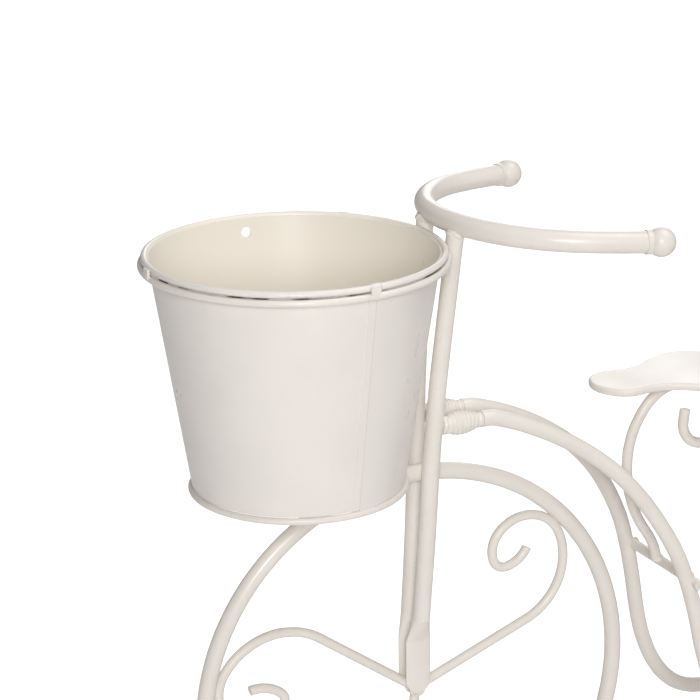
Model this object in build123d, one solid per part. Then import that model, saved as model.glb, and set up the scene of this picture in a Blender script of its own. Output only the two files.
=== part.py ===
from build123d import *
import os
from math import asin, cos, degrees, pi, radians, sin, sqrt, tan

# Bicycle plant stand: steel bar and wire, welded, with two sheet pots that lift out of their hoops.
# Millimetres. While a piece is shaped, X = 0 is at the front hub, the rear is +X, -Y is the near
# side, and the floor is Z = 0. The finished pieces are then slid along X to centre the object.

# front wheel: a rim and three scroll spokes, which lie in the wheel's plane
WHEEL_R = 144.6
RIM_BAR = 10.8
HUB_Z = WHEEL_R + RIM_BAR / 2
SPOKE_WIRE = 6.3
SPOKE_ANGLES = (21.6, 144.8, 264.0)
SPOKE_STEMS = (85.6, 81.3, 85.6)
SPOKE_BENDS = ((42.4, 90.0), (26.2, 116.4), (18.5, 60.1), (8.5, 80.8), (19.9, 54.0))
FRONT_SPOKE_BENDS = ((45.5, 91.3), (25.2, 118.9), (22.0, 60.6), (7.2, 81.8), (23.8, 54.8))
HUB_SLUG_R = 4.0
HUB_SLUG_LENGTH = 6.6

# fork: two bars, pressed flat at the hub
LEG_BAR = 11.0
LEG_ROUTE = ((18.4, 20.4, 454.0), (14.0, 17.0, 404.0), (9.4, 14.2, 357.0), (6.9, 11.3, 316.0),
             (3.8, 9.4, 250.0), (0.3, 8.3, 200.0))
LEG_FLAT_X = -0.6
LEG_FLAT_Y = 5.4
LEG_FLAT_W = 17.0
LEG_FLAT_T = 4.2
LEG_FLAT_TOP = 185.0
LEG_FLAT_END = 149.4

# handlebar: one tube, whose plane slopes down to the grips
BAR_R = 6.7
BAR_APEX_X = 18.5
BAR_APEX_Z = 456.3
BAR_SLOPE = 0.05
BAR_BENDS = ((88.6, -67.6), (235.0, -8.6))
COLLAR_R = 7.4
COLLAR_LENGTH = 3.0
BALL_R = 9.0
BALL_OUT = 9.6                # from the end of the tube to the centre of the ball

# pots, both alike
SHEET = 1.0
POT_FOOT_R = 64.8
POT_TOP_R = 87.4
POT_HEIGHT = 142.9            # foot to the centre of the rim bead
BEAD_R = 2.0
BEAD_OUT = 1.9                # centre of the bead from the face of the wall
FLOOR_RISE = 3.0
SEAM_ANGLE = -83.0
SEAM_W = 5.0
SEAM_T = 0.5
FOLD_R = 2.4                  # the seam's fold in the bead
FOLD_W = 6.5
HOLE_ANGLE = 86.6
HOLE_R = 3.0
HOLE_DROP = 8.5

# what holds each pot: a hoop with three lugs at the top and a ring under the foot
RING_R = 2.1
FOOT_RING_R = 65.0
FOOT_GAP = 0.3
HOOP_R = 91.2
HOOP_DROP = 4.7               # below the centre of the bead
LUG_IN_R = 92.0
LUG_T = 1.6
LUG_TOP = 6.2
LUG_W = 6.0
FRONT_LUGS = (-84.4, 178.4, 47.0)
REAR_LUGS = (-60.0, 60.0, 180.0)
FRONT_POT_X = -78.4
FRONT_RING_Z = 301.2
REAR_POT_X = 348.0
REAR_RING_Z = 110.0

# frame: two tubes, each joined to its fork leg by a core rod in a winding
TUBE_BAR = 10.3
TUBE_START = (39.8, 13.2, 328.0)
TUBE_ROUTE = ((47.5, 13.2, 328.0), (66.0, 14.0, 321.8), (84.0, 15.9, 313.6), (101.0, 18.3, 304.1),
              (118.0, 21.3, 292.4), (133.5, 24.4, 278.8), (147.5, 27.8, 262.4), (160.0, 31.8, 243.2),
              (170.5, 35.6, 222.8), (177.5, 38.4, 201.3), (183.0, 40.4, 178.4), (187.0, 41.8, 156.0),
              (193.0, 44.2, 134.0), (202.5, 47.6, 113.5), (215.5, 53.0, 96.0), (231.5, 60.4, 82.0),
              (251.0, 69.0, 71.6), (277.0, 77.6, 65.8), (310.0, 83.6, 64.6), (344.6, 86.8, 66.0))
CORE_RADII = ((0.0, 4.2), (4.0, 4.4), (9.0, 4.9), (13.0, 5.0), (17.0, 4.6), (21.0, 3.8), (22.8, 3.1),
              (25.0, 3.8))
CORE_REAR_R = 4.6

# winding: a spindle of turns of wire, with both ends tucked in under the joint
WIND_WIRE = 2.1
WIND_QUARTERS = 26
WIND_PITCH = 2.7
WIND_FRONT_R = 5.2
WIND_REAR_R = 4.4
WIND_BULGE = 1.7
WIND_SWELL_LAG = 0.85         # under 1, the fullest turn is ahead of the middle
WIND_TUCK = 2.6
WIND_EMBED = 0.5              # how far the front end runs into the leg before it is cut

# crossbar and seat
CROSS_X = 180.0
CROSS_Z = 203.6
CROSS_BAR = 6.8
CROSS_HALF = 48.0
SEAT_WIRE = 7.0
SEAT_FOOT = (176.9, 205.0)
SEAT_HEADING = 100.0
SEAT_BENDS = ((0, 1.5), (48.5, 25.7), (81.4, -40.6), (58.1, -36.8), (30.8, -38.4), (43.3, -51.4), (18.9, -131.5),
              (15.0, -105.3), (0, 8.0))
SADDLE_Z = 328.6
SADDLE_T = 5.0
SADDLE_EDGE = 2.0
SADDLE_NOSE_X = 127.0
SADDLE_BENDS = ((23.3, -55.3), (16.2, -50.0), (34.1, 53.3), (47.6, -28.8), (26.4, -99.2))

# rear axle, with a small wheel at each end and a post for the rear pot on each side
REAR_WHEEL_R = 62.0
REAR_RIM_BAR = 8.0
AXLE_Z = REAR_WHEEL_R + REAR_RIM_BAR / 2
AXLE_X = 348.0
AXLE_R = 4.0
AXLE_HALF = 108.0
CAP_R = 7.0
REAR_WHEEL_Y = 101.0
REAR_WIRE = 5.0
REAR_STEM = 32.4
REAR_BENDS = ((19.0, 90), (12.6, 90), (8.8, 150))
REAR_ANGLES = (30.0, 150.0, 270.0)
SLEEVE_R = 8.0
SLEEVE_HALF = 5.0
POST_R = 4.0
POST_TOP = 4.0

COPE = 0.2                    # how far a butted bar runs into its neighbour before it is cut
PARTS = {}


def keep(name, solid):
    PARTS[name] = solid


def bar_along(path, radius):
    """A round bar along a path of tangent lines and arcs."""
    section = Plane(origin=path @ 0, z_dir=path % 0) * Circle(radius)
    return sweep(section, path=path)


def smooth_radii(points):
    """Each corner's arc takes 0.45 of its shorter run."""
    radii = []
    for before, corner, after in zip(points, points[1:], points[2:]):
        run_in = Vector(*corner) - Vector(*before)
        run_out = Vector(*after) - Vector(*corner)
        turn = radians(run_in.get_angle(run_out))
        radii.append(0.45 * min(run_in.length, run_out.length) / tan(turn / 2))
    return radii


def routed_bar(points, radius):
    return bar_along(FilletPolyline(*points, radius=smooth_radii(points)), radius)


def flat_path(start, heading, bends):
    """Tangent arcs, as (radius, turn in degrees), and straight runs, as (0, length), in the XY plane."""
    edges = []
    here = Vector(*start)
    for radius, amount in bends:
        ahead = Vector(cos(radians(heading)), sin(radians(heading)))
        if radius == 0:
            there = here + ahead * amount
            edges.append(Edge.make_line(here, there))
        else:
            reach = 2 * radius * sin(radians(abs(amount)) / 2)
            chord = radians(heading + amount / 2)
            there = here + Vector(cos(chord), sin(chord)) * reach
            edges.append(Edge.make_tangent_arc(here, ahead, there))
            heading += amount
        here = there
    return Wire(edges)


def turned_up(shape):
    """Stands a shape of the XY plane up in the XZ plane."""
    return shape.rotate(Axis.X, 90)


def mirrored(solid):
    return mirror(solid, about=Plane.XZ)


def cross_rod(x, y, z, radius, length):
    """A round bar along Y."""
    return Pos(x, y, z) * Rot(90, 0, 0) * Cylinder(radius, length)


def scroll_spoke(x, y, z, angle, stem, bends, wire):
    """A straight stem from the hub, then a curl that tightens inwards."""
    path = turned_up(flat_path((0, 0), 0, ((0, stem),) + bends))
    return Pos(x, y, z) * Rot(0, -angle, 0) * bar_along(path, wire / 2)


def wheel_rim(x, y, z, radius, bar):
    return Pos(x, y, z) * Rot(90, 0, 0) * Torus(radius, bar / 2)


def level_ring(x, z, radius):
    """A closed wire ring. Its faces' seam is turned inwards, away from the bars that are cut out."""
    section = turned_up(Pos(radius, 0) * Rot(0, 0, 180) * Circle(RING_R))
    return Pos(x, 0, z) * revolve(section, Axis.Z, 360)


def front_wheel():
    rim = wheel_rim(0, 0, HUB_Z, WHEEL_R, RIM_BAR)
    slug = cross_rod(0, 0, HUB_Z, HUB_SLUG_R, HUB_SLUG_LENGTH)
    keep("front_wheel_rim", rim)
    keep("front_hub_slug", slug)
    shapes = (SPOKE_BENDS, FRONT_SPOKE_BENDS, SPOKE_BENDS)
    for number, (angle, stem, bends) in enumerate(zip(SPOKE_ANGLES, SPOKE_STEMS, shapes), 1):
        spoke = scroll_spoke(0, 0, HUB_Z, angle, stem, bends, SPOKE_WIRE)
        keep(f"front_wheel_scroll_{number}", spoke - slug - rim)


def fork_leg():
    """The +Y leg: a round bar, squeezed into a flat blade with a rounded end at the hub."""
    shank = routed_bar(LEG_ROUTE, LEG_BAR / 2)
    low = Vector(*LEG_ROUTE[-1])
    run = (low - Vector(*LEG_ROUTE[-2])).normalized()
    round_section = Plane(origin=low, x_dir=(1, 0, 0), z_dir=run) * Circle(LEG_BAR / 2)
    blade_top = Plane(origin=(LEG_FLAT_X, LEG_FLAT_Y, LEG_FLAT_TOP), x_dir=(1, 0, 0), z_dir=(0, 0, -1))
    flat_section = blade_top * Ellipse(LEG_FLAT_W / 2, LEG_FLAT_T / 2)
    squeeze = loft([round_section.face(), flat_section.face()])
    blade = extrude(flat_section, amount=LEG_FLAT_TOP - LEG_FLAT_END)
    tip_z = LEG_FLAT_END + LEG_FLAT_W / 2
    rounded = cross_rod(LEG_FLAT_X, LEG_FLAT_Y, tip_z, LEG_FLAT_W / 2, LEG_FLAT_T * 2)
    upper = Pos(LEG_FLAT_X, LEG_FLAT_Y, (tip_z + LEG_FLAT_TOP) / 2) * Box(
        LEG_FLAT_W, LEG_FLAT_T * 2, LEG_FLAT_TOP - tip_z)
    return shank + squeeze + (blade & (rounded + upper))


def handlebar():
    """The tube, and the +Y ball with its collar, which closes the tube's end."""
    seat = Pos(BAR_APEX_X, 0, BAR_APEX_Z) * Rot(0, degrees(asin(BAR_SLOPE)), 0)
    path = seat * flat_path((0, 0), 90, BAR_BENDS)
    half = bar_along(path, BAR_R)
    end, along = path @ 1, path % 1
    collar = extrude(Plane(origin=end, z_dir=along) * Circle(COLLAR_R), amount=COLLAR_LENGTH)
    ball = Pos(*(end + along * BALL_OUT)) * Sphere(BALL_R)
    return half + mirrored(half), ball + collar


def biarc(p0, t0, p1, t1):
    """Two tangent arcs from p0 along t0 to p1 along t1, with equal control lengths."""
    chord = p1 - p0
    lean = chord.dot(t0 + t1)
    spread = 2 * (1 - t0.dot(t1))
    reach = (-lean + sqrt(lean * lean + spread * chord.dot(chord))) / spread
    q0, q1 = p0 + t0 * reach, p1 - t1 * reach
    middle = (q0 + q1) * 0.5
    across = (q1 - q0).normalized()
    return [Edge.make_tangent_arc(p0, t0, middle), Edge.make_tangent_arc(middle, across, p1)]


def wound_point(quarter):
    """A point of the winding's helix, whose radius swells near the front and narrows to the rear."""
    share = quarter / WIND_QUARTERS
    swell = WIND_BULGE * sin(pi * share ** WIND_SWELL_LAG)
    radius = WIND_FRONT_R + (WIND_REAR_R - WIND_FRONT_R) * share + swell
    angle = pi / 2 * quarter
    along = WIND_EMBED + WIND_WIRE + WIND_TUCK + quarter * WIND_PITCH / 4
    return Vector(along, radius * cos(angle), radius * sin(angle))


def wound_heading(quarter):
    low, high = max(quarter - 0.01, 0), min(quarter + 0.01, WIND_QUARTERS)
    return (wound_point(high) - wound_point(low)).normalized()


def winding():
    """One wire along +X from the fork's face: a straight end under the joint, the turns, and a
    straight end under the joint again."""
    straight = Vector(1, 0, 0)
    first = Vector(WIND_EMBED + WIND_WIRE, 0, -WIND_FRONT_R)
    last = wound_point(WIND_QUARTERS) + straight * WIND_TUCK
    last = Vector(last.X, 0, -WIND_REAR_R)
    stations = [(first, straight)]
    stations += [(wound_point(q), wound_heading(q)) for q in range(WIND_QUARTERS + 1)]
    stations += [(last, straight)]
    edges = [Edge.make_line(Vector(0, 0, -WIND_FRONT_R), first)]
    for (p0, t0), (p1, t1) in zip(stations, stations[1:]):
        edges += biarc(p0, t0, p1, t1)
    edges.append(Edge.make_line(last, last + straight * WIND_WIRE))
    path = Wire(edges)
    print_winding(path, edges)
    return bar_along(path, WIND_WIRE / 2), last.X + WIND_WIRE


def print_winding(path, edges):
    """Prints the tightest arc and the least gap between turns, measured on points."""
    tightest = min(edge.radius for edge in edges if edge.geom_type == GeomType.CIRCLE)
    count = 800
    points = [path.position_at(i / count) for i in range(count + 1)]
    apart = int(2.5 * WIND_WIRE / path.length * count)
    gap = min((points[i] - points[j]).length
              for i in range(count + 1) for j in range(i + apart, count + 1))
    print("winding: wire radius", WIND_WIRE / 2, "tightest arc", round(tightest, 2),
          "least gap", round(gap - WIND_WIRE, 2))


def core_rod(length):
    """A spindle on +X inside the winding, narrow at both ends."""
    outline = Polyline(*CORE_RADII, (length, CORE_REAR_R), (length, 0), (0, 0), close=True)
    return revolve(make_face(outline), Axis.X, 360)


def frame_side(leg):
    """The +Y tube, core rod and winding. The core and the winding are cut to the fork leg."""
    x, y, z = TUBE_START
    tube = routed_bar((TUBE_START,) + TUBE_ROUTE, TUBE_BAR / 2)
    wound, length = winding()
    front = Pos(x - length, y, z)
    return tube, front * (core_rod(length) - wound) - leg, front * wound - leg


def pot_wall():
    """Rolled sheet on its own axis, foot at Z = 0: rim bead, lap seam and one hole to hang it by."""
    flare = (POT_TOP_R - POT_FOOT_R) / POT_HEIGHT
    sheet = Polyline((POT_FOOT_R - SHEET, 0), (POT_FOOT_R, 0), (POT_TOP_R, POT_HEIGHT),
                     (POT_TOP_R - SHEET, POT_HEIGHT), close=True)
    wall = revolve(turned_up(make_face(sheet)), Axis.Z, 360)
    bead_r = POT_TOP_R + BEAD_OUT
    bead = Pos(0, 0, POT_HEIGHT) * Torus(bead_r, BEAD_R)
    lap = Polyline((POT_FOOT_R - SHEET / 2, 0), (POT_FOOT_R + SEAM_T, 0), (POT_TOP_R + SEAM_T, POT_HEIGHT),
                   (POT_TOP_R - SHEET / 2, POT_HEIGHT), close=True)
    seam = extrude(turned_up(make_face(lap)), amount=SEAM_W / 2, both=True)
    span = degrees(FOLD_W / bead_r)
    fold = revolve(turned_up(Pos(bead_r, POT_HEIGHT) * Circle(FOLD_R)), Axis.Z, span)
    seam += Rot(0, 0, -span / 2) * fold
    hole_z = POT_HEIGHT - HOLE_DROP
    hole = Pos(POT_FOOT_R + flare * hole_z, 0, hole_z) * Rot(0, 90, 0) * Cylinder(HOLE_R, HOLE_DROP)
    return wall + bead + Rot(0, 0, SEAM_ANGLE) * seam - Rot(0, 0, HOLE_ANGLE) * hole


def pot_floor():
    """The pressed disc let into the foot of the wall, its edge cut to the wall's slope."""
    flare = (POT_TOP_R - POT_FOOT_R) / POT_HEIGHT
    low_r = POT_FOOT_R - SHEET + flare * FLOOR_RISE
    outline = Polyline((0, FLOOR_RISE), (low_r, FLOOR_RISE), (low_r + flare * SHEET, FLOOR_RISE + SHEET),
                       (0, FLOOR_RISE + SHEET), close=True)
    return revolve(turned_up(make_face(outline)), Axis.Z, 360)


def hoop_lug(angle):
    """A short tab that stands on the hoop, just outside the pot's bead."""
    span = degrees(LUG_W / LUG_IN_R)
    outline = Pos(LUG_IN_R + LUG_T / 2, LUG_TOP / 2) * Rectangle(LUG_T, LUG_TOP)
    return Rot(0, 0, angle - span / 2) * revolve(turned_up(outline), Axis.Z, span)


def pot_place(name, x, ring_z, supports, lug_angles):
    """One pot and what holds it. The hoop and the foot ring are cut to what carries them."""
    foot_z = ring_z + RING_R + FOOT_GAP
    hoop_z = foot_z + POT_HEIGHT - HOOP_DROP
    hoop = level_ring(x, hoop_z, HOOP_R)
    foot_ring = level_ring(x, ring_z, FOOT_RING_R)
    for number, angle in enumerate(lug_angles, 1):
        keep(f"{name}_hoop_lug_{number}", Pos(x, 0, hoop_z) * hoop_lug(angle) - hoop)
    keep(f"{name}_hoop", hoop - supports)
    keep(f"{name}_foot_ring", foot_ring - supports)
    keep(f"{name}_wall", Pos(x, 0, foot_z) * pot_wall())
    keep(f"{name}_floor", Pos(x, 0, foot_z) * pot_floor())


def saddle():
    """A flat plate with a round nose, a drawn-in waist and a wide back, all edges rounded."""
    half = flat_path((SADDLE_NOSE_X, 0), 90, SADDLE_BENDS)
    back = half @ 1
    edges = half.edges() + mirrored(half).edges()
    outline = Wire(edges + [Edge.make_line(back, Vector(back.X, -back.Y))])
    plate = extrude(Pos(0, 0, SADDLE_Z) * make_face(outline), amount=SADDLE_T)
    rims = plate.edges().group_by(Axis.Z)
    return fillet(rims[0] + rims[-1], SADDLE_EDGE)


def seat_and_crossbar(tubes):
    crossbar = cross_rod(CROSS_X, 0, CROSS_Z, CROSS_BAR / 2, CROSS_HALF * 2) - tubes
    plate = saddle()
    scroll = bar_along(turned_up(flat_path(SEAT_FOOT, SEAT_HEADING, SEAT_BENDS)), SEAT_WIRE / 2)
    keep("crossbar", crossbar)
    keep("seat_scroll", scroll - crossbar - plate)
    keep("saddle", plate)


def rear_wheel(side, y, axle):
    """A small wheel: a sleeve on the axle, three scroll spokes and a rim."""
    rim = wheel_rim(AXLE_X, y, AXLE_Z, REAR_WHEEL_R, REAR_RIM_BAR)
    sleeve = cross_rod(AXLE_X, y, AXLE_Z, SLEEVE_R, SLEEVE_HALF * 2)
    keep(f"rear_wheel_rim_{side}", rim)
    keep(f"rear_wheel_sleeve_{side}", sleeve - axle)
    for number, angle in enumerate(REAR_ANGLES, 1):
        spoke = scroll_spoke(AXLE_X, y, AXLE_Z, angle, REAR_STEM, REAR_BENDS, REAR_WIRE)
        keep(f"rear_wheel_scroll_{side}_{number}", spoke - sleeve - rim)


def pot_post():
    """The +Y post leans out from the axle, past the foot ring, to just above the hoop."""
    hoop_z = REAR_RING_Z + RING_R + FOOT_GAP + POT_HEIGHT - HOOP_DROP
    beside = RING_R + POST_R - COPE
    lean = (HOOP_R - FOOT_RING_R) / (hoop_z - REAR_RING_Z)
    foot_z = AXLE_Z + AXLE_R - COPE * 4
    foot = Vector(REAR_POT_X, FOOT_RING_R + beside - lean * (REAR_RING_Z - foot_z), foot_z)
    top = Vector(REAR_POT_X, HOOP_R + beside + lean * POST_TOP, hoop_z + POST_TOP)
    return bar_along(Wire([Edge.make_line(foot, top)]), POST_R)


def axle_cap():
    """A half ball on the +Y end of the axle."""
    ball = Pos(AXLE_X, AXLE_HALF, AXLE_Z) * Sphere(CAP_R)
    inner = Pos(AXLE_X, AXLE_HALF - CAP_R, AXLE_Z) * Box(CAP_R * 3, CAP_R * 2, CAP_R * 3)
    return ball - inner


def build():
    bar, ball = handlebar()
    leg = fork_leg() - bar
    axle = cross_rod(AXLE_X, 0, AXLE_Z, AXLE_R, AXLE_HALF * 2)
    tube, core, wound = frame_side(leg)
    post = pot_post() - axle
    sides = {"handlebar_ball": ball, "fork_leg": leg, "frame_core": core, "frame_winding": wound,
             "frame_tube": tube - axle, "rear_pot_post": post, "rear_axle_cap": axle_cap()}
    for name, solid in sides.items():
        keep(f"{name}_far", solid)
        keep(f"{name}_near", mirrored(solid))
    front_wheel()
    keep("handlebar", bar)
    seat_and_crossbar([PARTS["frame_tube_near"], PARTS["frame_tube_far"]])
    keep("rear_axle", axle)
    rear_wheel("near", -REAR_WHEEL_Y, axle)
    rear_wheel("far", REAR_WHEEL_Y, axle)
    front_supports = [PARTS["fork_leg_near"], PARTS["fork_leg_far"], PARTS["front_wheel_rim"]]
    rear_supports = [PARTS["rear_pot_post_near"], PARTS["rear_pot_post_far"]]
    pot_place("front_pot", FRONT_POT_X, FRONT_RING_Z, front_supports, FRONT_LUGS)
    pot_place("rear_pot", REAR_POT_X, REAR_RING_Z, rear_supports, REAR_LUGS)


def write_steps():
    """Centres the object on X, then writes one file for each piece."""
    boxes = [solid.bounding_box() for solid in PARTS.values()]
    shift = -(min(box.min.X for box in boxes) + max(box.max.X for box in boxes)) / 2
    print("moved along X by", round(shift, 3))
    os.makedirs("parts", exist_ok=True)
    for name, solid in PARTS.items():
        export_step(Pos(shift, 0, 0) * solid, f"parts/{name}.step")


build()
write_steps()
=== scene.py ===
import bpy
import numpy as np
from mathutils import Matrix, Vector


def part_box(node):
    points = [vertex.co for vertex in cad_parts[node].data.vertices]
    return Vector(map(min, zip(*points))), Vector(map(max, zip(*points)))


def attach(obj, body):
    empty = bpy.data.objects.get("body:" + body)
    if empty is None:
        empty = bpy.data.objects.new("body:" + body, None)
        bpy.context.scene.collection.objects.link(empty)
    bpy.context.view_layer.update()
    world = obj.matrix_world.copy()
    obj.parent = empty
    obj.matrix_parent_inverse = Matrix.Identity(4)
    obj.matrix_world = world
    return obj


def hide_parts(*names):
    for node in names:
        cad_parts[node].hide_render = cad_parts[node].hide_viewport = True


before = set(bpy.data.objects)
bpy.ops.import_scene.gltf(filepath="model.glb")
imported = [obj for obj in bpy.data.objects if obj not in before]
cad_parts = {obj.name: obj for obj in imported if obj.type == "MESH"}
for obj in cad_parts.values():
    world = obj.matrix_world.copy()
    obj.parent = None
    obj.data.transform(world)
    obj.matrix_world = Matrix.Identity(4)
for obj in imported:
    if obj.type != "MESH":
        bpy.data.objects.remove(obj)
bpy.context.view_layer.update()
scene = bpy.context.scene
scene.view_settings.view_transform = "Standard"

# Camera: the photograph's long lens, from ahead of the near side and a little above.
# Places below are in millimetres with X = 0 at the front hub, as the object was measured.
HUB_SLUG_R = 0.004
HUB_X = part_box("front_hub_slug")[0].x + HUB_SLUG_R
CAMERA_SPOT = (-711.9, -1434.2, 881.4)
CAMERA_ANGLES = (-25.005, 17.551, -0.683)      # azimuth, elevation and roll, in degrees
CAMERA_LENS = 141.34


def place(x, y, z):
    """Millimetres from the front hub to metres in the frame."""
    return (HUB_X + x / 1000, y / 1000, z / 1000)


azimuth, elevation, roll = np.radians(CAMERA_ANGLES)
back = np.array((np.sin(azimuth) * np.cos(elevation), -np.cos(azimuth) * np.cos(elevation), np.sin(elevation)))
level = np.array((np.cos(azimuth), np.sin(azimuth), 0.0))
upward = np.cross(back, level)
right = np.cos(roll) * level + np.sin(roll) * upward
above = np.cos(roll) * upward - np.sin(roll) * level
lens = bpy.data.cameras.new("photo_lens")
lens.lens = CAMERA_LENS
camera = bpy.data.objects.new("photo_camera", lens)
turn = Matrix((right, above, back)).transposed().to_4x4()
camera.matrix_world = Matrix.Translation(place(*CAMERA_SPOT)) @ turn
scene.collection.objects.link(camera)
scene.camera = camera


def shader_nodes(name):
    material = bpy.data.materials.new(name)
    material.use_nodes = True
    tree = material.node_tree
    return material, tree, tree.nodes["Principled BSDF"]


def add(tree, kind, settings=(), **inputs):
    """Adds a node, sets its properties, and sets or links its inputs by name."""
    node = tree.nodes.new(kind)
    for key, value in dict(settings).items():
        setattr(node, key, value)
    for key, value in inputs.items():
        slot = node.inputs[key.replace("_", " ")]
        if isinstance(value, bpy.types.NodeSocket):
            tree.links.new(value, slot)
        else:
            slot.default_value = value
    return node


# Studio: a pale floor that turns white to the camera and dimmer to reflections, a white surround,
# and broad soft lamps overhead, beside the camera, and weaker on the far side.
FLOOR_REACH = 30.0
FLOOR_GLOW = 0.82
FLOOR_GLOW_IN_GLOSS = 0.3
SURROUND_LIGHT = 0.24
LAMP_AIM = (0, 0, 0.25)
floor_mesh = bpy.data.meshes.new("studio_floor")
corners = [(-FLOOR_REACH, -FLOOR_REACH, 0), (FLOOR_REACH, -FLOOR_REACH, 0), (FLOOR_REACH, FLOOR_REACH, 0),
           (-FLOOR_REACH, FLOOR_REACH, 0)]
floor_mesh.from_pydata(corners, [], [(0, 1, 2, 3)])
studio_floor = bpy.data.objects.new("studio_floor", floor_mesh)
scene.collection.objects.link(studio_floor)
floor_paint, tree, shader = shader_nodes("studio_floor_white")
shader.inputs["Base Color"].default_value = (0.8, 0.79, 0.78, 1)
shader.inputs["Roughness"].default_value = 0.9
rays = tree.nodes.new("ShaderNodeLightPath")
seen = add(tree, "ShaderNodeMath", {"operation": "MAXIMUM"})
tree.links.new(rays.outputs["Is Camera Ray"], seen.inputs[0])
softer = add(tree, "ShaderNodeMath", {"operation": "MULTIPLY"})
tree.links.new(rays.outputs["Is Glossy Ray"], softer.inputs[0])
softer.inputs[1].default_value = FLOOR_GLOW_IN_GLOSS
tree.links.new(softer.outputs[0], seen.inputs[1])
white = add(tree, "ShaderNodeEmission", Color=(1, 1, 1, 1), Strength=FLOOR_GLOW)
lit = add(tree, "ShaderNodeAddShader")
dim = add(tree, "ShaderNodeMixShader", Fac=seen.outputs[0])
tree.links.new(shader.outputs[0], dim.inputs[1])
tree.links.new(lit.outputs[0], dim.inputs[2])
tree.links.new(shader.outputs[0], lit.inputs[0])
tree.links.new(white.outputs[0], lit.inputs[1])
tree.links.new(dim.outputs[0], tree.nodes["Material Output"].inputs[0])
floor_mesh.materials.append(floor_paint)

world = bpy.data.worlds.new("white_surround")
scene.world = world
world.use_nodes = True
tree = world.node_tree
rays = tree.nodes.new("ShaderNodeLightPath")
seen = add(tree, "ShaderNodeMath", {"operation": "MAXIMUM"})
tree.links.new(rays.outputs["Is Camera Ray"], seen.inputs[0])
tree.links.new(rays.outputs["Is Transmission Ray"], seen.inputs[1])
strength = add(tree, "ShaderNodeMapRange", From_Min=0.0, From_Max=1.0, To_Min=SURROUND_LIGHT,
               To_Max=1.0, Value=seen.outputs[0])
sky = tree.nodes["Background"]
sky.inputs["Color"].default_value = (1, 1, 1, 1)
tree.links.new(strength.outputs[0], sky.inputs["Strength"])


def lamp(name, spot, size, watts):
    light = bpy.data.lights.new(name, "AREA")
    light.shape = "DISK"
    light.size = size
    light.energy = watts
    obj = bpy.data.objects.new(name, light)
    obj.location = spot
    obj.rotation_euler = (Vector(LAMP_AIM) - Vector(spot)).to_track_quat("-Z", "Y").to_euler()
    scene.collection.objects.link(obj)


lamp("overhead_softbox", (0.55, -0.2, 2.0), 1.2, 14.0)
lamp("camera_side_softbox", (-1.0, -2.0, 1.15), 0.9, 30.0)
lamp("far_side_fill", (1.2, 2.0, 1.2), 1.2, 8.0)

# Enamel: thick cream gloss paint over the steel. It is a little uneven in tone, its skin has a faint
# orange peel, it darkens slightly where dust sits, and its gloss breaks up in soft patches.
enamel = bpy.data.node_groups.new("cream_enamel", "ShaderNodeTree")
for label, kind in (("Paint", "NodeSocketColor"), ("Shade", "NodeSocketColor"), ("Peel", "NodeSocketFloat")):
    enamel.interface.new_socket(label, in_out="INPUT", socket_type=kind)
for label, kind in (("Color", "NodeSocketColor"), ("Roughness", "NodeSocketFloat"), ("Height", "NodeSocketFloat")):
    enamel.interface.new_socket(label, in_out="OUTPUT", socket_type=kind)
given = enamel.nodes.new("NodeGroupInput")
result = enamel.nodes.new("NodeGroupOutput")
spot = enamel.nodes.new("ShaderNodeTexCoord").outputs["Object"]
clouds = add(enamel, "ShaderNodeTexNoise", Vector=spot, Scale=26.0, Detail=4.0, Roughness=0.55)
specks = add(enamel, "ShaderNodeTexNoise", Vector=spot, Scale=420.0, Detail=3.0, Roughness=0.6)
runs = add(enamel, "ShaderNodeTexNoise", Vector=spot, Scale=130.0, Detail=2.0, Distortion=0.6)
patch = add(enamel, "ShaderNodeMapRange", Value=clouds.outputs["Fac"], From_Min=0.35, From_Max=0.7,
            To_Min=0.0, To_Max=0.5)
dust = add(enamel, "ShaderNodeMapRange", Value=specks.outputs["Fac"], From_Min=0.66, From_Max=0.78,
           To_Min=0.0, To_Max=0.14)
both = add(enamel, "ShaderNodeMath", {"operation": "ADD", "use_clamp": True})
enamel.links.new(patch.outputs[0], both.inputs[0])
enamel.links.new(dust.outputs[0], both.inputs[1])
tone = add(enamel, "ShaderNodeMix", {"data_type": "RGBA"})
enamel.links.new(both.outputs[0], tone.inputs["Factor"])
enamel.links.new(given.outputs["Paint"], tone.inputs[6])
enamel.links.new(given.outputs["Shade"], tone.inputs[7])
gloss = add(enamel, "ShaderNodeMapRange", Value=clouds.outputs["Fac"], From_Min=0.3, From_Max=0.75,
            To_Min=0.27, To_Max=0.4)
peel = add(enamel, "ShaderNodeMath", {"operation": "MULTIPLY_ADD"})
enamel.links.new(specks.outputs["Fac"], peel.inputs[0])
peel.inputs[1].default_value = 0.35
enamel.links.new(runs.outputs["Fac"], peel.inputs[2])
height = add(enamel, "ShaderNodeMath", {"operation": "MULTIPLY"})
enamel.links.new(peel.outputs[0], height.inputs[0])
enamel.links.new(given.outputs["Peel"], height.inputs[1])
enamel.links.new(tone.outputs[2], result.inputs["Color"])
enamel.links.new(gloss.outputs[0], result.inputs["Roughness"])
enamel.links.new(height.outputs[0], result.inputs["Height"])


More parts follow.
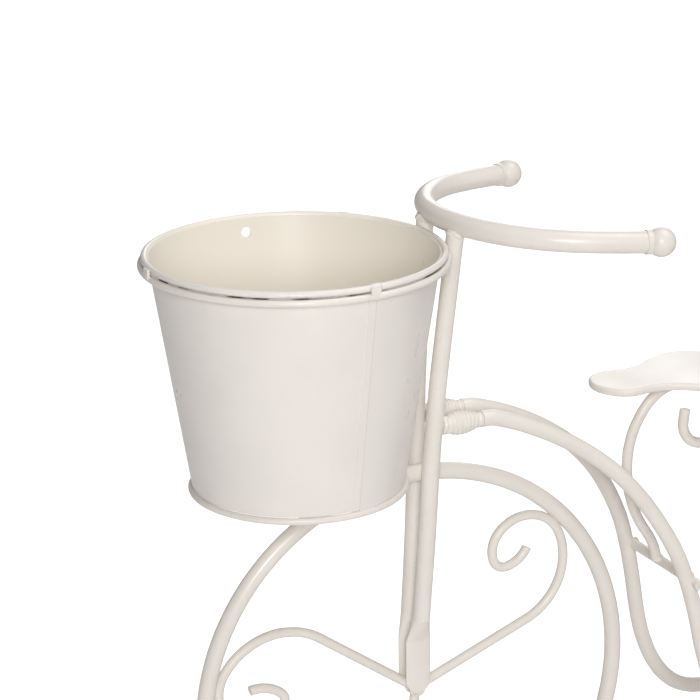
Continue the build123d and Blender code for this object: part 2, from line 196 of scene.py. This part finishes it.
def enamel_material(name, paint, shade, peel_height):
    """Gloss enamel from the shared group, with its skin as a bump."""
    material, tree, shader = shader_nodes(name)
    coat = tree.nodes.new("ShaderNodeGroup")
    coat.node_tree = enamel
    coat.inputs["Paint"].default_value = (*paint, 1)
    coat.inputs["Shade"].default_value = (*shade, 1)
    coat.inputs["Peel"].default_value = peel_height
    bump = add(tree, "ShaderNodeBump", Strength=0.5, Distance=0.001, Height=coat.outputs["Height"])
    tree.links.new(coat.outputs["Color"], shader.inputs["Base Color"])
    tree.links.new(coat.outputs["Roughness"], shader.inputs["Roughness"])
    tree.links.new(bump.outputs["Normal"], shader.inputs["Normal"])
    shader.inputs["Specular IOR Level"].default_value = 0.35
    shader.inputs["Coat Weight"].default_value = 0.12
    shader.inputs["Coat Roughness"].default_value = 0.12
    return material, tree, shader, coat


def dress(obj, material):
    obj.data.materials.clear()
    obj.data.materials.append(material)


CREAM = (0.84, 0.79, 0.735)
POT_CREAM = (0.85, 0.802, 0.757)
POT_SHADE = (0.79, 0.745, 0.70)
CREAM_SHADE = (0.77, 0.715, 0.65)
bar_paint = enamel_material("cream_enamel_on_bar", CREAM, CREAM_SHADE, 0.12)[0]
for name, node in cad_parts.items():
    if not name.endswith(("pot_wall", "pot_floor")):
        dress(node, bar_paint)

# Pots: thin rolled sheet, sprayed outside and in. The inside is given a lighter, warmer cream than the
# outside: painted light in the pot's hollow. The sheet's outside is smoother than the dipped bars.
# Lighter, warmer cream for the pots' insides; its lightness is painted light.
INSIDE_CREAM_PAINTED_LIGHT = (0.89, 0.835, 0.745)
SEAM_ANGLE = -83.0
SEAM_HALF = 0.0025
# Painted shade: the dark line on the shaded edge of the lap seam.
SEAM_PAINTED_SHADE = (0.62, 0.56, 0.49)


def pot_material(name, axis_x):
    """Outside and inside are told apart by which way the surface faces, to or from the pot's axis. Painted
    shade of the lap's step lies as a dark line along one edge of the lap seam, at SEAM_HALF from its middle."""
    material, tree, shader, coat = enamel_material(name, POT_CREAM, POT_SHADE, 0.004)
    where = add(tree, "ShaderNodeTexCoord").outputs["Object"]
    level_spot = add(tree, "ShaderNodeVectorMath", {"operation": "MULTIPLY_ADD"})
    tree.links.new(where, level_spot.inputs[0])
    level_spot.inputs[1].default_value = (1, 1, 0)
    level_spot.inputs[2].default_value = (-axis_x, 0, 0)
    facing = add(tree, "ShaderNodeVectorMath", {"operation": "DOT_PRODUCT"})
    tree.links.new(level_spot.outputs[0], facing.inputs[0])
    tree.links.new(add(tree, "ShaderNodeNewGeometry").outputs["Normal"], facing.inputs[1])
    inside = add(tree, "ShaderNodeMapRange", Value=facing.outputs["Value"], From_Min=0.01, From_Max=-0.03,
                 To_Min=0.0, To_Max=1.0)
    mix = add(tree, "ShaderNodeMix", {"data_type": "RGBA"})
    tree.links.new(inside.outputs[0], mix.inputs["Factor"])
    tree.links.new(coat.outputs["Color"], mix.inputs[6])
    # Inward-facing surfaces take the lighter inside cream: painted light.
    mix.inputs[7].default_value = (*INSIDE_CREAM_PAINTED_LIGHT, 1)
    across = add(tree, "ShaderNodeVectorMath", {"operation": "DOT_PRODUCT"})
    tree.links.new(level_spot.outputs[0], across.inputs[0])
    seam = np.radians(SEAM_ANGLE)
    across.inputs[1].default_value = (-np.sin(seam), np.cos(seam), 0)
    outward = add(tree, "ShaderNodeVectorMath", {"operation": "DOT_PRODUCT"})
    tree.links.new(level_spot.outputs[0], outward.inputs[0])
    outward.inputs[1].default_value = (np.cos(seam), np.sin(seam), 0)
    # The shaded edge of the lap seam, on the seam's side of the pot, is painted as a dark line: painted shade.
    seam_shade_line = add(tree, "ShaderNodeMath", {"operation": "COMPARE"})
    tree.links.new(across.outputs["Value"], seam_shade_line.inputs[0])
    seam_shade_line.inputs[1].default_value = SEAM_HALF
    seam_shade_line.inputs[2].default_value = 0.0003
    front = add(tree, "ShaderNodeMath", {"operation": "MULTIPLY"})
    tree.links.new(seam_shade_line.outputs[0], front.inputs[0])
    shown = add(tree, "ShaderNodeMapRange", Value=outward.outputs["Value"], From_Min=0.0, From_Max=0.01,
                To_Min=0.0, To_Max=0.75)
    tree.links.new(shown.outputs[0], front.inputs[1])
    seam_shade = add(tree, "ShaderNodeMix", {"data_type": "RGBA"})
    tree.links.new(front.outputs[0], seam_shade.inputs["Factor"])
    tree.links.new(mix.outputs[2], seam_shade.inputs[6])
    seam_shade.inputs[7].default_value = (*SEAM_PAINTED_SHADE, 1)
    tree.links.new(seam_shade.outputs[2], shader.inputs["Base Color"])
    return material


pot_axes = {}
for pot in ("front_pot", "rear_pot"):
    low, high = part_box(pot + "_floor")
    pot_axes[pot] = (low.x + high.x) / 2
    paint = pot_material(pot + "_enamel", pot_axes[pot])
    dress(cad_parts[pot + "_wall"], paint)
    dress(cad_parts[pot + "_floor"], paint)

# Weld beads: small uneven rings of weld where bars meet, painted over with the rest. Each is laid
# round the thinner bar, against the thicker one. Sizes are in millimetres.
LEG_TOP = (18.1, 20.2)
HANDLEBAR_X = 20.6
HANDLEBAR_Z = 456.2
HANDLEBAR_R = 6.7
BEAD_REACH = 4.9
BEAD_STEPS = 40


def bead_tube(points, radii, closed, sides=10):
    """A round tube of changing radius along points: each ring lies in the plane of the path's normal,
    point + radius * (cos(t) side + sin(t) lift). Open ends are capped."""
    count = len(points)
    if closed:
        ahead = np.roll(points, -1, 0) - np.roll(points, 1, 0)
    else:
        ahead = np.gradient(points, axis=0)
    ahead /= np.linalg.norm(ahead, axis=1, keepdims=True)
    guide = np.array((0.31, 0.17, 0.93))
    side = np.cross(ahead, guide)
    side /= np.linalg.norm(side, axis=1, keepdims=True)
    lift = np.cross(ahead, side)
    t = np.arange(sides) * 2 * np.pi / sides
    ring = np.cos(t)[None, :, None] * side[:, None] + np.sin(t)[None, :, None] * lift[:, None]
    verts = (points[:, None] + radii[:, None, None] * ring).reshape(-1, 3)
    rows = np.arange(count if closed else count - 1)[:, None]
    cols = np.arange(sides)[None, :]
    here, there = rows * sides, (rows + 1) % count * sides
    ahead_cols = (cols + 1) % sides
    faces = np.stack((here + cols, here + ahead_cols, there + ahead_cols, there + cols), -1).reshape(-1, 4)
    faces = [tuple(map(int, face)) for face in faces]
    if not closed:
        faces += [tuple(range(sides - 1, -1, -1)), tuple(range((count - 1) * sides, count * sides))]
    return verts, faces


def weld_ring(centre, axis, ring_r, bead_r, seed, span=360.0, start=0.0):
    """A circle of ring_r about axis, whose bead swells and thins by two sine waves."""
    axis = np.array(axis, float) / np.linalg.norm(axis)
    across = np.cross(axis, (0.2, 0.3, 1.0) if abs(axis[2]) < 0.9 else (1.0, 0.0, 0.0))
    across /= np.linalg.norm(across)
    over = np.cross(axis, across)
    closed = span == 360.0
    t = np.radians(start + np.linspace(0, span, BEAD_STEPS, endpoint=not closed))
    points = np.array(centre) + ring_r * (np.cos(t)[:, None] * across + np.sin(t)[:, None] * over)
    radii = bead_r * (1 + 0.16 * np.sin(5 * t + seed) + 0.1 * np.sin(11 * t + 2 * seed))
    if not closed:
        radii *= np.sqrt(np.clip(np.sin(np.linspace(0, np.pi, len(t))), 0.02, 1))
    return points, radii, closed


def weld_piece(name, rings, paint=bar_paint):
    verts, faces, first = [], [], 0
    for points, radii, closed in rings:
        v, f = bead_tube(points, radii, closed)
        verts.append(v)
        faces += [tuple(i + first for i in face) for face in f]
        first += len(v)
    metres = np.concatenate(verts) / 1000 + (HUB_X, 0, 0)
    mesh = bpy.data.meshes.new(name)
    mesh.from_pydata(metres.tolist(), [], faces)
    mesh.polygons.foreach_set("use_smooth", np.ones(len(mesh.polygons), bool))
    piece = bpy.data.objects.new(name, mesh)
    scene.collection.objects.link(piece)
    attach(piece, "stand")
    mesh.materials.append(paint)


for side, sign in (("near", -1), ("far", 1)):
    points, radii, closed = weld_ring((LEG_TOP[0], sign * LEG_TOP[1], 0), (0, 0, 1), 4.7, 1.5, sign)
    beside = np.clip(points[:, 0] - HANDLEBAR_X, -BEAD_REACH, BEAD_REACH)
    points[:, 2] = HANDLEBAR_Z - np.sqrt(HANDLEBAR_R ** 2 - beside ** 2)
    weld_piece(f"leg_top_weld_{side}", [(points, radii, closed)])
    weld_piece(f"hoop_weld_{side}", [weld_ring((10.6, sign * 19.4, 441.6), (0.3, 1, 0), 2.3, 0.9, sign + 4)])
    weld_piece(f"crossbar_weld_{side}", [weld_ring((180.0, sign * 34.6, 203.6), (0, 1, 0), 3.6, 1.1, sign + 1)])
weld_piece("foot_ring_weld", [weld_ring((-13.4, 0, 299.8), (0.1, 0, 1), 3.0, 0.9, 2)])
weld_piece("seat_scroll_welds", [weld_ring((177.2, 0, 206.0), (-0.17, 0, 1), 3.3, 1.2, 3),
                                 weld_ring((191.5, 0, 328.0), (0, 0, 1), 3.6, 0.8, 5)])
weld_piece("hub_welds", [weld_ring((0, sign * 3.4, 150), (0, 1, 0), 4.6, 0.9, sign) for sign in (-1, 1)])

# Frame joint fill: the paint and weld that lie between the turns of each winding and close them up.
# Its skin stands a little under the crests of the wire. Sizes are in millimetres.
FILL_FRONT_R = 5.2
FILL_NARROWS = 0.8
FILL_BULGE = 1.7
TURN_PITCH = 2.7
TURNS_START = 5.2
STRAIGHT_ENDS = 9.9
FILL_RINGS = 150
FILL_SIDES = 48


def joint_fill(side, sign):
    """A surface of revolution along X: its radius rises from the leg to the fullest turn and falls to
    the tube, with ridges that climb one pitch a turn, and with low lumps."""
    low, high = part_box(f"frame_winding_{side}")
    u = np.linspace(0, 1, FILL_RINGS)[:, None]
    t = np.linspace(0, 2 * np.pi, FILL_SIDES, endpoint=False)[None, :]
    length = (high.x - low.x) * 1000
    share = np.clip((u * length - TURNS_START) / (length - STRAIGHT_ENDS), 0, 1)
    spindle = FILL_FRONT_R - FILL_NARROWS * share + FILL_BULGE * np.sin(np.pi * share ** 0.85)
    turns = (u * length - TURNS_START) / TURN_PITCH - sign * t / (2 * np.pi)
    radius = spindle + 0.28 + 0.22 * np.cos(2 * np.pi * turns) + 0.12 * np.sin(3 * t + 9 * u)
    radius = radius * np.clip(np.minimum(u, 1 - u) * 30 + 0.86, 0, 1)
    axis_y, axis_z = (low.y + high.y) / 2, (low.z + high.z) / 2
    spots = np.stack((low.x + u * length / 1000 + 0 * t, axis_y + radius * np.cos(t) / 1000,
                      axis_z + radius * np.sin(t) / 1000), -1).reshape(-1, 3)
    here = np.arange(FILL_RINGS - 1)[:, None] * FILL_SIDES
    there = here + FILL_SIDES
    cols = np.arange(FILL_SIDES)[None, :]
    ahead_cols = (cols + 1) % FILL_SIDES
    faces = np.stack((here + cols, here + ahead_cols, there + ahead_cols, there + cols), -1)
    faces = [tuple(map(int, face)) for face in faces.reshape(-1, 4)[:, ::-1]]
    last = (FILL_RINGS - 1) * FILL_SIDES
    faces += [tuple(range(FILL_SIDES)), tuple(range(last + FILL_SIDES - 1, last - 1, -1))]
    mesh = bpy.data.meshes.new(f"frame_joint_fill_{side}")
    mesh.from_pydata(spots.tolist(), [], faces)
    mesh.polygons.foreach_set("use_smooth", np.ones(len(mesh.polygons), bool))
    mesh.materials.append(bar_paint)
    piece = bpy.data.objects.new(mesh.name, mesh)
    scene.collection.objects.link(piece)
    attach(piece, "stand")
    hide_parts(f"frame_core_{side}")


joint_fill("near", -1)
joint_fill("far", 1)

# Paint bridges: the enamel that ran into the gap between each hoop and its pot's bead, in broken
# lengths, with painted shade of the gap, a dark brown, between them and a little over them. It stays on the hoop
# when the pot is lifted.
# Dark brown painted shade for the gap between each hoop and its pot's bead.
GAP_PAINTED_SHADE = (0.09, 0.07, 0.05)
BRIDGE_R = 0.42
BRIDGE_RING_R = 90.2
BRIDGE_LIFT = 2.4
bridge_paint_and_gap_shade, tree, shader, coat = enamel_material("enamel_over_painted_gap_shade", CREAM, CREAM_SHADE, 0.1)
spot = add(tree, "ShaderNodeTexCoord").outputs["Object"]
breaks = add(tree, "ShaderNodeTexNoise", Vector=spot, Scale=34.0, Detail=5.0, Roughness=0.6)
# Noise breaks the ring into cream lengths and lengths of painted gap shade.
gap_shade_mask = add(tree, "ShaderNodeMapRange", Value=breaks.outputs["Fac"], From_Min=0.44, From_Max=0.58, To_Min=0.25,
           To_Max=1.0)
mix = add(tree, "ShaderNodeMix", {"data_type": "RGBA"})
tree.links.new(gap_shade_mask.outputs[0], mix.inputs["Factor"])
tree.links.new(coat.outputs["Color"], mix.inputs[6])
mix.inputs[7].default_value = (*GAP_PAINTED_SHADE, 1)
tree.links.new(mix.outputs[2], shader.inputs["Base Color"])
for pot in ("front_pot", "rear_pot"):
    low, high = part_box(pot + "_hoop")
    hoop_z = (low.z + high.z) * 500
    t = np.linspace(0, 2 * np.pi, 720, endpoint=False)
    run = np.sin(7 * t + 1) + np.sin(17 * t + 2.2) + 0.8 * np.sin(31 * t) + 0.9
    radii = BRIDGE_R * np.clip(run, 0.05, 1)
    centre_x = (pot_axes[pot] - HUB_X) * 1000
    ring = np.stack((centre_x + BRIDGE_RING_R * np.cos(t), BRIDGE_RING_R * np.sin(t),
                     np.full_like(t, hoop_z + BRIDGE_LIFT)), -1)
    weld_piece(pot + "_paint_bridges_and_gap_shade", [(ring, radii, True)], bridge_paint_and_gap_shade)
